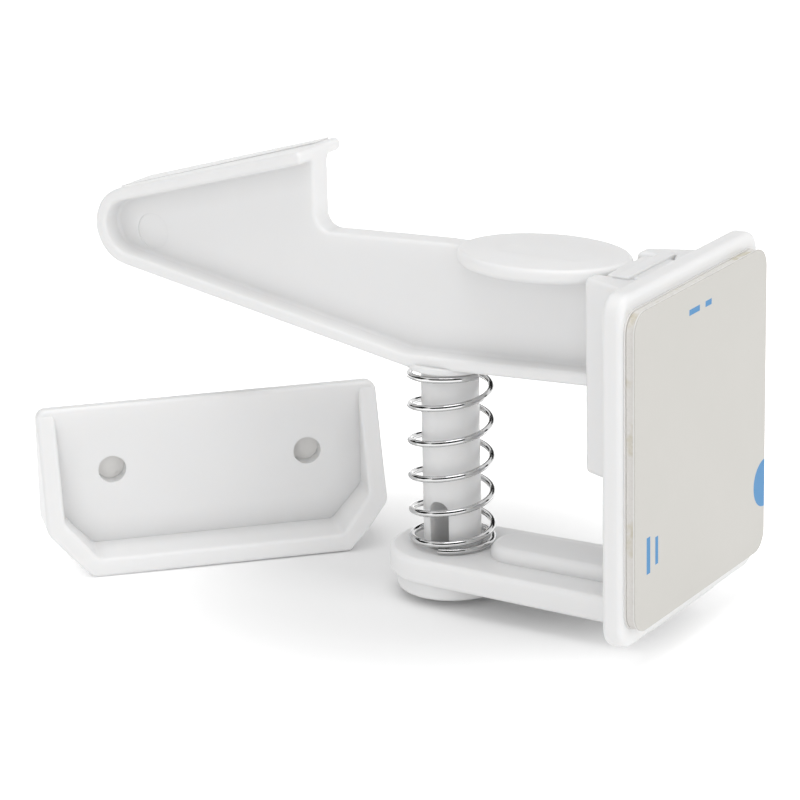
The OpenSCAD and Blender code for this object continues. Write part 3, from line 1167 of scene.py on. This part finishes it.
@dataclass
class Strike:
    """The loose strike with its tape."""

    finishes: FinishSet
    length: float = 49.4
    height: float = 23.0
    depth: float = 9.8
    wall: float = 2.2
    cut_width: float = 6.0
    cut_height: float = 6.6
    hole_radius: float = 2.0
    hole_spacing: float = 28.4
    hole_z: float = 13.4
    place: tuple[float, float, float] = (-79.2, -0.6, -28.3)
    turn: float = 45
    soft: float = 0.6
    rim: float = 2.7
    top_round: float = 1.5
    slope_drop: float = 0.5
    slope_foot: float = 0.5
    skin: float = 0.03
    tape_size: Point2 = (44, 16)
    tape_corner: float = 2.8
    foam_y: Point2 = (0.15, 1.25)
    liner_y: Point2 = (1.4, 1.6)

    def stand(self) -> Matrix:
        """Matrix from the strike's own frame to its place beside the latch."""
        return (Matrix.Translation(Vector(self.place) * MM)
                @ Matrix.Rotation(math.radians(self.turn), 4, "Z"))

    def edge(self, inset: float, top: float) -> list[Point2]:
        """Outline of the tray with its two cut corners.

        Args:
            inset: Wall that the outline leaves, 0 for the outer edge.
            top: Height of the outline's open end.

        Returns:
            The outline, counter-clockwise from the top left.
        """
        half, g = self.length / 2, inset * math.tan(math.radians(22.5))
        left = [(-half + inset, self.cut_height + g), (-half + self.cut_width + g, inset)]
        if inset:
            left.insert(0, (-half + inset, top))
        else:
            r = self.top_round
            left = arc((-half + r, top - r), r, 90, 180, 10) + left
        return left + [(-x, z) for x, z in reversed(left)]

    def build(self) -> list[bpy.types.Object]:
        """Builds the tray and its tape."""
        tray = Workpiece.prism("moulded_strike", self.edge(0, self.height), Plane.XZ,
                               -self.wall, 0).soften(self.soft, 4)
        tray.weld(self.frame())
        for side in (-1, 1):
            drill = Workpiece.rod("drill", (0, 0), self.hole_radius, -self.wall - OVERRUN,
                                  OVERRUN, 64)
            centre = Vector((side * self.hole_spacing / 2, 0, self.hole_z)) * MM
            turn = Matrix.Rotation(math.radians(-90), 4, "X")
            drill.place(Matrix.Translation(centre) @ turn)
            tray.carve(drill)
        tray.place(self.stand())
        pieces = [hand_over(tray.finish(self.finishes.plastic), "strike", "white_plastic",
                            "strike_plate")]
        rows = (("strike_foam", self.foam_y, self.finishes.foam, "foam", "strike_foam_pad"),
                ("strike_liner", self.liner_y, self.finishes.liner, "liner",
                 "strike_release_liner"))
        for name, (y0, y1), material, slot, node in rows:
            sheet = self.sheet(name, y0, y1).place(self.stand())
            pieces.append(hand_over(sheet.finish(material), "strike", slot, node))
        for node in ("strike_inner_adhesive", "strike_outer_adhesive"):
            dress_node(node, self.finishes.adhesive)
        return pieces

    def frame(self) -> Workpiece:
        """The walls that stand out of the slab, cut back along a slope that ends in the slab."""
        back = -self.wall / 4
        walls = Workpiece.prism("walls", self.edge(self.skin, self.height - self.soft), Plane.XZ,
                                -self.depth, back)
        hollow = Workpiece.prism("hollow", self.edge(self.rim, self.height + OVERRUN), Plane.XZ,
                                 -self.depth - OVERRUN, OVERRUN)
        half = self.length / 2 + OVERRUN
        foot = self.rim + self.slope_foot
        rise = (self.height - self.slope_drop - foot) / (self.depth - self.wall)
        top = self.height * 2
        slope = Workpiece.prism(
            "slope", [(-self.depth, foot), (OVERRUN, foot + rise * (self.depth + OVERRUN)),
                      (OVERRUN, top), (-self.depth - OVERRUN, top),
                      (-self.depth - OVERRUN, foot)],
            Plane.YZ, -half, half)
        return walls.carve(hollow, slope).soften(self.soft, 4, 30)

    def sheet(self, name: str, y0: float, y1: float) -> Workpiece:
        """One sheet of the tape in the strike's own frame.

        Args:
            name: Name of the sheet.
            y0: Its face towards the tray.
            y1: Its other face.

        Returns:
            The sheet.
        """
        w, h = self.tape_size[0] / 2, self.tape_size[1] / 2
        mid = self.height / 2
        sheet = Workpiece.block(name, (-w, y0, mid - h), (w, y1, mid + h))
        return sheet.round_edges(self.tape_corner, lambda a, b: abs(a.y - b.y) > SLACK, 10)


@dataclass
class Studio:
    """Floor, lamps, world and camera.

    Lengths are in metres, but for the floor's level and gap, the camera's eye and its sensor, which
    are in millimetres.
    """

    aim: tuple[float, float, float] = (-0.045, 0, 0)
    floor_z: float = -28.3
    floor_gap: float = 0.02
    floor_size: float = 6
    floor_grey: float = 0.95
    floor_roughness: float = 0.9
    shadow_ring: Point2 = (0.031, 0.076)
    floor_glow: Point2 = (0.01, 0.75)
    world_strength: float = 0.57
    card_grey: float = 0.01
    focal_px: float = 3341.8
    picture_px: float = 800
    sensor: float = 36
    pitch: float = 17.84
    yaw: float = -32.0
    roll: float = -1.33
    eye: tuple[float, float, float] = (186.51, -373.11, 139.75)

    def build(self) -> None:
        """Sets up everything round the object."""
        self.floor()
        self.world()
        self.lamp("top_softbox", (0, -0.15, 1.3), 0.8, 4.5)
        self.lamp("side_softbox", (1.1, -0.1, 0.35), 0.8, 3.1)
        self.lamp("front_softbox", (0.3, -0.9, 0.75), 0.8, 1.4).visible_glossy = False
        self.lamp("low_softbox", (0.25, -1.0, 0.12), 0.5, 0.8).visible_glossy = False
        self.dark_card("dark_room_front", (0.4, -1.3, 0.75), (3.2, 1.5))
        self.dark_card("dark_room_left", (-1.6, -0.3, 0.6), (2.2, 1.3))
        self.dark_card("dark_room_right", (1.5, 0.5, 0.6), (1.8, 1.3))
        self.dark_card("dark_room_back", (-0.6, 1.6, 0.9), (2.6, 0.7))
        self.camera()
        bpy.context.scene.view_settings.view_transform = "Standard"

    def floor(self) -> None:
        """A pale floor that keeps the shadow near the lock and glows towards white further out."""
        deselect_all()
        bpy.ops.mesh.primitive_plane_add(size=self.floor_size,
                                         location=(0, 0, (self.floor_z - self.floor_gap) * MM))
        plane = Workpiece(bpy.context.object, "studio_floor")
        material = bpy.data.materials.new("pale_floor")
        material.use_nodes = True
        nodes, links = material.node_tree.nodes, material.node_tree.links
        shader, out = nodes["Principled BSDF"], nodes["Material Output"]
        shader.inputs["Base Color"].default_value = rgba(self.floor_grey)
        shader.inputs["Roughness"].default_value = self.floor_roughness
        shader.inputs["Specular IOR Level"].default_value = 0
        seen, glow = self.seen_rays(nodes, links), nodes.new("ShaderNodeEmission")
        place, away = nodes.new("ShaderNodeTexCoord"), nodes.new("ShaderNodeVectorMath")
        away.operation = "DISTANCE"
        away.inputs[1].default_value = self.aim
        rise = nodes.new("ShaderNodeMapRange")
        rise.interpolation_type = "SMOOTHSTEP"
        for number, value in enumerate(self.shadow_ring + self.floor_glow, start=1):
            rise.inputs[number].default_value = value
        links.new(place.outputs["Object"], away.inputs[0])
        links.new(away.outputs["Value"], rise.inputs[0])
        gain = nodes.new("ShaderNodeMath")
        gain.operation = "MULTIPLY"
        links.new(rise.outputs[0], gain.inputs[1])
        total = nodes.new("ShaderNodeAddShader")
        links.new(seen, gain.inputs[0])
        links.new(gain.outputs[0], glow.inputs["Strength"])
        links.new(shader.outputs[0], total.inputs[0])
        links.new(glow.outputs[0], total.inputs[1])
        links.new(total.outputs[0], out.inputs["Surface"])
        plane.obj.data.materials.append(material)

    @staticmethod
    def seen_rays(nodes: bpy.types.Nodes, links: bpy.types.NodeLinks) -> bpy.types.NodeSocket:
        """Marks the rays that show the white background.

        Args:
            nodes: The nodes of the floor's or the world's tree.
            links: The links of the same tree.

        Returns:
            A socket that is 1 on camera, glossy and transmission rays, and 0 on all others.
        """
        path = nodes.new("ShaderNodeLightPath")
        seen = path.outputs["Is Camera Ray"]
        for ray in ("Is Glossy Ray", "Is Transmission Ray"):
            either = nodes.new("ShaderNodeMath")
            either.operation = "MAXIMUM"
            links.new(seen, either.inputs[0])
            links.new(path.outputs[ray], either.inputs[1])
            seen = either.outputs[0]
        return seen

    def world(self) -> None:
        """A soft grey light that the camera and reflections see as white."""
        world = bpy.data.worlds.new("studio_world")
        bpy.context.scene.world = world
        world.use_nodes = True
        nodes, links = world.node_tree.nodes, world.node_tree.links
        background, out = nodes["Background"], nodes["World Output"]
        background.inputs["Color"].default_value = rgba(1)
        background.inputs["Strength"].default_value = self.world_strength
        white = nodes.new("ShaderNodeBackground")
        white.inputs["Color"].default_value = rgba(1)
        white.inputs["Strength"].default_value = 1
        mix = nodes.new("ShaderNodeMixShader")
        links.new(self.seen_rays(nodes, links), mix.inputs[0])
        links.new(background.outputs[0], mix.inputs[1])
        links.new(white.outputs[0], mix.inputs[2])
        links.new(mix.outputs[0], out.inputs["Surface"])

    def lamp(self, name: str, place: tuple[float, float, float], size: float,
             power: float) -> bpy.types.Object:
        """A square softbox aimed at the lock.

        Args:
            name: Name of the lamp.
            place: Its place in metres.
            size: Its side in metres.
            power: Its power in watts.

        Returns:
            The lamp.
        """
        data = bpy.data.lights.new(name, "AREA")
        data.shape = "SQUARE"
        data.size = size
        data.energy = power
        lamp = bpy.data.objects.new(name, data)
        bpy.context.scene.collection.objects.link(lamp)
        lamp.location = place
        ahead = Vector(self.aim) - Vector(place)
        lamp.rotation_euler = ahead.to_track_quat("-Z", "Y").to_euler()
        return lamp

    def dark_card(self, name: str, place: tuple[float, float, float], size: Point2) -> None:
        """A black card, hidden from the camera and from diffuse light, for the wire's dark bands.

        Args:
            name: Name of the card.
            place: Its middle in metres.
            size: Its width and height in metres.
        """
        deselect_all()
        bpy.ops.mesh.primitive_plane_add(size=1)
        card = bpy.context.object
        facing = (Vector(self.aim) - Vector(place)).to_track_quat("Z", "Y").to_matrix()
        scale = Matrix.Diagonal((size[0], size[1], 1, 1))
        Workpiece(card, name).place(Matrix.Translation(place) @ facing.to_4x4() @ scale)
        black = bpy.data.materials.new(name)
        black.use_nodes = True
        shader = black.node_tree.nodes["Principled BSDF"]
        shader.inputs["Base Color"].default_value = rgba(self.card_grey)
        shader.inputs["Roughness"].default_value = 1
        card.data.materials.append(black)
        card.visible_camera = False
        card.visible_diffuse = False
        card.visible_shadow = False

    def camera(self) -> None:
        """The camera at the photograph's place and angle."""
        pitch, yaw, roll = (math.radians(v) for v in (self.pitch, self.yaw, self.roll))
        ahead = Vector((math.sin(yaw) * math.cos(pitch), math.cos(yaw) * math.cos(pitch),
                        -math.sin(pitch)))
        right = ahead.cross(Vector((0, 0, 1))).normalized()
        up = right.cross(ahead)
        tilted_right = right * math.cos(roll) + up * math.sin(roll)
        tilted_up = up * math.cos(roll) - right * math.sin(roll)
        data = bpy.data.cameras.new("photo_camera")
        data.sensor_width = self.sensor
        data.sensor_fit = "HORIZONTAL"
        data.lens = self.focal_px / self.picture_px * self.sensor
        data.clip_start = 0.01
        camera = bpy.data.objects.new("photo_camera", data)
        bpy.context.scene.collection.objects.link(camera)
        turn = Matrix((tilted_right, tilted_up, -ahead)).transposed()
        camera.matrix_world = Matrix.Translation(Vector(self.eye) * MM) @ turn.to_4x4()
        bpy.context.scene.camera = camera


def main() -> None:
    """Builds the lock and its studio."""
    logging.basicConfig(level=logging.INFO)
    Studio().build()
    finishes = FinishSet()
    Bracket(finishes).build()
    LatchArm(finishes).build()
    ReturnSpring(finishes).build()
    PlateTape(finishes).build()
    Strike(finishes).build()


if __name__ == "__main__":
    main()
